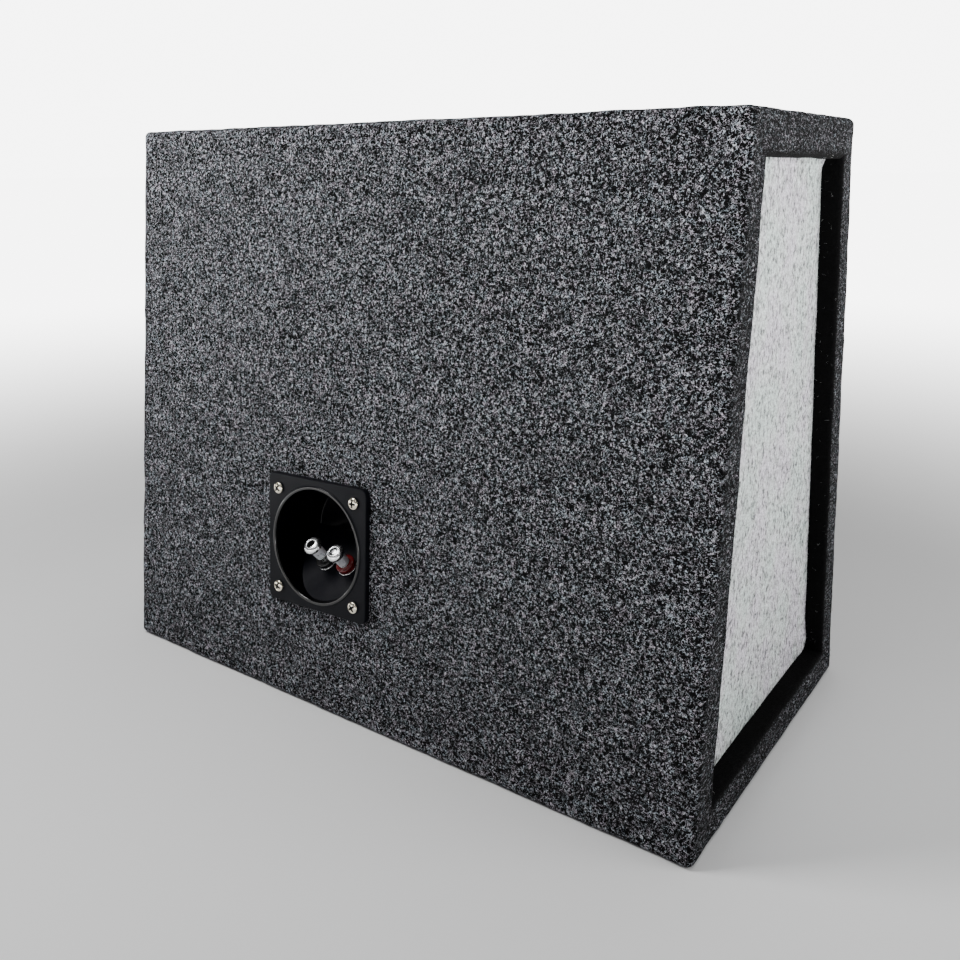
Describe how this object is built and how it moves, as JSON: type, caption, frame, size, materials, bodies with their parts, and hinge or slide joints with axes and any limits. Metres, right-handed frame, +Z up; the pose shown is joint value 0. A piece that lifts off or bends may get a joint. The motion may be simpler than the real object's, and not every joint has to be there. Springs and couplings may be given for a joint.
{
  "type": "car subwoofer",
  "caption": "Wedge-shaped carpeted car subwoofer box with a large round driver in front, felt ends and a recessed terminal cup with two binding posts behind.",
  "frame": {"origin": "centre of the underside of the box", "axes": "+X along the box, driver faces -Y, terminal cup faces +Y, +Z up"},
  "size_m": [0.442, 0.2478, 0.368],
  "materials": {
    "mdf": "raw fibreboard",
    "carpet": "short heather pile, charcoal and grey",
    "felt": "light grey needled felt",
    "cup_black": "satin plate with a glossy bowl",
    "foam_black": "closed-cell foam",
    "rubber_black": "moulded",
    "nickel": "nickel plate, slightly warm",
    "chrome": "bright",
    "brass": "tinned brass",
    "ring_red": "glossy",
    "ring_black": "glossy",
    "basket_paint": "black stove enamel",
    "cone_paper": "pressed pulp, coated",
    "spider_cloth": "phenolic-treated cotton",
    "former": "kraft former with a copper winding",
    "zinc": "zinc plated",
    "ferrite": "ferrite",
    "black_screw": "black oxide",
    "wadding": "polyester wadding",
    "tag_board": "phenolic board"
  },
  "bodies": {
    "box": {"rear_board": "mdf", "front_baffle": "mdf", "top_board": "mdf", "bottom_board": "mdf", "left_side_panel": "mdf", "right_side_panel": "mdf", "carpet_wrap": "carpet", "carpet_base": "carpet", "left_side_felt": "felt", "right_side_felt": "felt", "terminal_cup": "cup_black", "terminal_gasket": "foam_black", "frame_seal": "foam_black", "trim_gasket": "foam_black", "terminal_screw_1": "nickel", "terminal_screw_2": "nickel", "terminal_screw_3": "nickel", "terminal_screw_4": "nickel", "red_stud": "chrome", "black_stud": "chrome", "red_tab": "brass", "black_tab": "brass", "tag_red": "brass", "tag_black": "brass", "red_collar": "ring_red", "red_driver_connector": "ring_red", "red_post_connector": "ring_red", "wire_red": "ring_red", "black_collar": "ring_black", "black_driver_connector": "ring_black", "black_post_connector": "ring_black", "wire_black": "ring_black", "basket": "basket_paint", "top_plate": "zinc", "yoke": "zinc", "red_nut": "zinc", "black_nut": "zinc", "magnet": "ferrite", "driver_screw_1": "black_screw", "driver_screw_2": "black_screw", "driver_screw_3": "black_screw", "driver_screw_4": "black_screw", "driver_screw_5": "black_screw", "driver_screw_6": "black_screw", "driver_screw_7": "black_screw", "driver_screw_8": "black_screw", "damping_pad": "wadding", "tag_strip": "tag_board"},
    "cone_assembly": {"cone": "cone_paper", "dust_cap": "cone_paper", "voice_coil": "former", "surround": "rubber_black", "spider": "spider_cloth", "lead_red": "brass", "lead_black": "brass"},
    "red_clamp": {"red_clamp_washer": "chrome"},
    "red_knob": {"red_cap": "chrome"},
    "black_clamp": {"black_clamp_washer": "chrome"},
    "black_knob": {"black_cap": "chrome"}
  },
  "joints": [
    {"name": "cone_stroke", "type": "slide", "parent": "box", "child": "cone_assembly", "axis": [0, -0.9952, 0.0974], "range_m": [-0.008, 0.008], "stiffness_N_per_m": 4600, "deforming": ["surround", "spider", "lead_red", "lead_black"]},
    {"name": "red_cap_travel", "type": "slide", "parent": "box", "child": "red_clamp", "axis": [0.0247, 0.6349, 0.7722], "range_m": [0, 0.0035]},
    {"name": "red_cap_turn", "type": "hinge", "parent": "red_clamp", "child": "red_knob", "pos_m": [0.02775, 0.09793, 0.09503], "axis": [0.0247, 0.6349, 0.7722], "range_deg": [0, 1801]},
    {"name": "black_cap_travel", "type": "slide", "parent": "box", "child": "black_clamp", "axis": [0.0247, 0.6349, 0.7722], "range_m": [-0.0026, 0.0008]},
    {"name": "black_cap_turn", "type": "hinge", "parent": "black_clamp", "child": "black_knob", "pos_m": [0.0458, 0.09971, 0.09649], "axis": [0.0247, 0.6349, 0.7722], "range_deg": [-1340, 415]}
  ],
  "couplings": [
    {"joint": "red_cap_turn", "follows": "red_cap_travel", "rad_per_m": 8976},
    {"joint": "black_cap_turn", "follows": "black_cap_travel", "rad_per_m": 8976}
  ]
}
